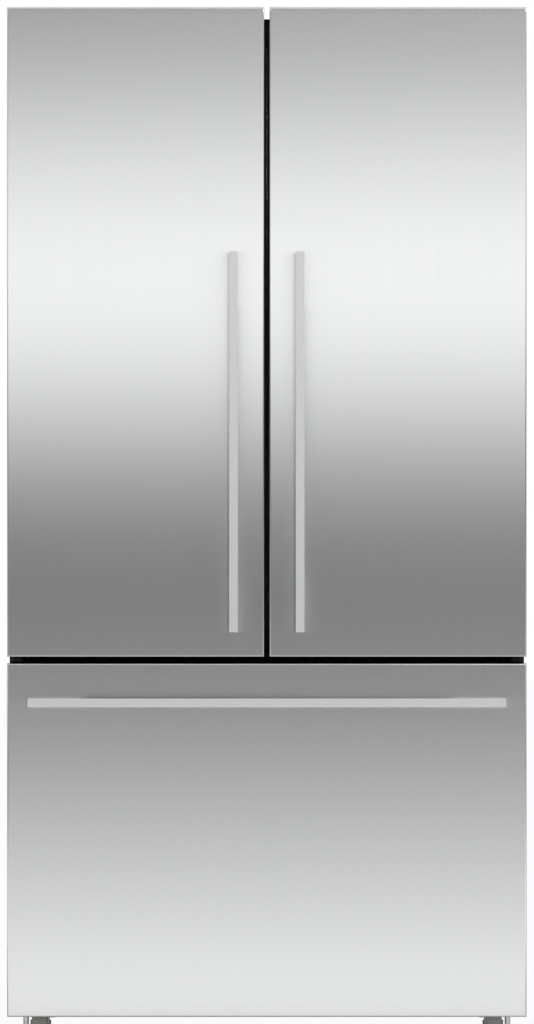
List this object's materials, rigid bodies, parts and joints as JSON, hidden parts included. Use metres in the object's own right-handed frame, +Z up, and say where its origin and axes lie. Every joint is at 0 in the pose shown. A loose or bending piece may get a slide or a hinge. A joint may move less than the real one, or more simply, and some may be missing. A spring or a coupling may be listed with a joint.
{
  "type": "american fridge freezer",
  "caption": "Free-standing refrigerator with two hinged upper doors over a full-width freezer drawer, brushed-steel fronts and square bar handles.",
  "frame": {"origin": "centre of the footprint, on the floor", "axes": "+X to the right seen from the front, +Y towards the back, +Z up"},
  "size_m": [0.9, 0.74, 1.79],
  "materials": {
    "brushed_stainless": "satin",
    "painted_sheet": "satin",
    "galvanised_steel": "satin",
    "black_steel": "satin",
    "white_liner": "satin",
    "grey_plastic": "matte",
    "black_plastic": "matte",
    "clear_plastic": "gloss",
    "shelf_glass": "gloss",
    "light_lens": "satin",
    "seal_rubber": "matte",
    "foam": "matte",
    "fin_aluminium": "satin",
    "roller_nylon": "matte"
  },
  "bodies": {
    "cabinet": {"cabinet_wrapper": "painted_sheet", "rear_panel": "galvanised_steel", "base_pan": "galvanised_steel", "cabinet_foam": "foam", "fridge_liner": "white_liner", "freezer_liner": "white_liner", "front_frame": "black_plastic", "top_hinges": "galvanised_steel", "centre_hinges": "black_steel", "hinge_covers": "grey_plastic", "duct_panel": "white_liner", "ceiling_light": "light_lens", "shelf_frames": "grey_plastic", "glass_shelves": "shelf_glass", "evaporator_cover": "white_liner", "evaporator": "fin_aluminium", "fan_motors": "black_plastic", "compressor": "black_steel", "condenser": "black_steel", "drip_tray": "grey_plastic", "machine_cover": "galvanised_steel", "power_inlet": "black_plastic", "fixed_rails": "galvanised_steel"},
    "left_door": {"left_door_skin": "brushed_stainless", "left_door_foam": "foam", "left_door_panel": "white_liner", "left_door_ribs": "white_liner", "left_door_caps": "grey_plastic", "left_door_seal": "seal_rubber", "left_door_handle": "brushed_stainless", "left_door_bins": "clear_plastic", "flap_knuckles": "white_liner"},
    "right_door": {"right_door_skin": "brushed_stainless", "right_door_foam": "foam", "right_door_panel": "white_liner", "right_door_ribs": "white_liner", "right_door_caps": "grey_plastic", "right_door_seal": "seal_rubber", "right_door_handle": "brushed_stainless", "right_door_bins": "clear_plastic"},
    "mullion_flap": {"mullion_flap": "black_plastic"},
    "dairy_lid": {"dairy_lid": "clear_plastic"},
    "freezer_drawer": {"drawer_skin": "brushed_stainless", "drawer_foam": "foam", "drawer_panel": "white_liner", "drawer_seal": "seal_rubber", "drawer_handle": "brushed_stainless", "moving_rails": "galvanised_steel", "freezer_basket": "clear_plastic"},
    "middle_rails": {"middle_rails": "galvanised_steel"},
    "freezer_tray": {"freezer_tray": "clear_plastic", "tray_glides": "roller_nylon"},
    "left_crisper": {"left_crisper": "clear_plastic"},
    "right_crisper": {"right_crisper": "clear_plastic"},
    "left_humidity_slider": {"left_humidity_slider": "grey_plastic"},
    "right_humidity_slider": {"right_humidity_slider": "grey_plastic"},
    "evaporator_fan": {"evaporator_fan": "white_liner"},
    "condenser_fan": {"condenser_fan": "grey_plastic"},
    "front_left_roller": {"front_left_roller": "roller_nylon"},
    "front_right_roller": {"front_right_roller": "roller_nylon"},
    "rear_left_roller": {"rear_left_roller": "roller_nylon"},
    "rear_right_roller": {"rear_right_roller": "roller_nylon"},
    "left_levelling_foot": {"left_levelling_foot": "galvanised_steel"},
    "right_levelling_foot": {"right_levelling_foot": "galvanised_steel"}
  },
  "joints": [
    {"name": "left_door_hinge", "type": "hinge", "parent": "cabinet", "child": "left_door", "pos_m": [-0.432, -0.3, 1.2], "axis": [0, 0, -1], "range_deg": [0, 115]},
    {"name": "right_door_hinge", "type": "hinge", "parent": "cabinet", "child": "right_door", "pos_m": [0.432, -0.3, 1.2], "axis": [0, 0, 1], "range_deg": [0, 115]},
    {"name": "mullion_flap_hinge", "type": "hinge", "parent": "left_door", "child": "mullion_flap", "pos_m": [-0.032, -0.238, 1.212], "axis": [0, 0, -1], "range_deg": [0, 90]},
    {"name": "dairy_lid_hinge", "type": "hinge", "parent": "right_door", "child": "dairy_lid", "pos_m": [0.22, -0.25, 1.62], "axis": [1, 0, 0], "range_deg": [0, 80]},
    {"name": "drawer_slide", "type": "slide", "parent": "cabinet", "child": "freezer_drawer", "axis": [0, -1, 0], "range_m": [0, 0.42]},
    {"name": "middle_rail_slide", "type": "slide", "parent": "cabinet", "child": "middle_rails", "axis": [0, -1, 0], "range_m": [0, 0.21]},
    {"name": "freezer_tray_slide", "type": "slide", "parent": "freezer_drawer", "child": "freezer_tray", "axis": [0, 1, 0], "range_m": [0, 0.12]},
    {"name": "left_crisper_slide", "type": "slide", "parent": "cabinet", "child": "left_crisper", "axis": [0, -1, 0], "range_m": [0, 0.2]},
    {"name": "right_crisper_slide", "type": "slide", "parent": "cabinet", "child": "right_crisper", "axis": [0, -1, 0], "range_m": [0, 0.2]},
    {"name": "left_humidity_slide", "type": "slide", "parent": "cabinet", "child": "left_humidity_slider", "axis": [1, 0, 0], "range_m": [0, 0.04]},
    {"name": "right_humidity_slide", "type": "slide", "parent": "cabinet", "child": "right_humidity_slider", "axis": [1, 0, 0], "range_m": [0, 0.04]},
    {"name": "evaporator_fan_spin", "type": "hinge", "parent": "cabinet", "child": "evaporator_fan", "pos_m": [0, 0.269, 0.544], "axis": [0, 1, 0], "continuous": true},
    {"name": "condenser_fan_spin", "type": "hinge", "parent": "cabinet", "child": "condenser_fan", "pos_m": [0.019, 0.263, 0.144], "axis": [1, 0, 0], "continuous": true},
    {"name": "front_left_roller_spin", "type": "hinge", "parent": "cabinet", "child": "front_left_roller", "pos_m": [-0.396, -0.163, 0.0222], "axis": [1, 0, 0], "continuous": true},
    {"name": "front_right_roller_spin", "type": "hinge", "parent": "cabinet", "child": "front_right_roller", "pos_m": [0.396, -0.163, 0.0222], "axis": [1, 0, 0], "continuous": true},
    {"name": "rear_left_roller_spin", "type": "hinge", "parent": "cabinet", "child": "rear_left_roller", "pos_m": [-0.396, 0.322, 0.02], "axis": [1, 0, 0], "continuous": true},
    {"name": "rear_right_roller_spin", "type": "hinge", "parent": "cabinet", "child": "rear_right_roller", "pos_m": [0.396, 0.322, 0.02], "axis": [1, 0, 0], "continuous": true},
    {"name": "left_foot_screw", "type": "hinge", "parent": "cabinet", "child": "left_levelling_foot", "pos_m": [-0.42, -0.221, 0.02], "axis": [0, 0, 1], "range_deg": [0, 360]},
    {"name": "right_foot_screw", "type": "hinge", "parent": "cabinet", "child": "right_levelling_foot", "pos_m": [0.42, -0.221, 0.02], "axis": [0, 0, 1], "range_deg": [0, 360]}
  ],
  "couplings": [
    {"joint": "middle_rail_slide", "follows": "drawer_slide", "ratio": 0.5},
    {"joint": "left_crisper_slide", "follows": "left_door_hinge", "m_per_rad": 0.0996},
    {"joint": "right_crisper_slide", "follows": "right_door_hinge", "m_per_rad": 0.0996}
  ]
}
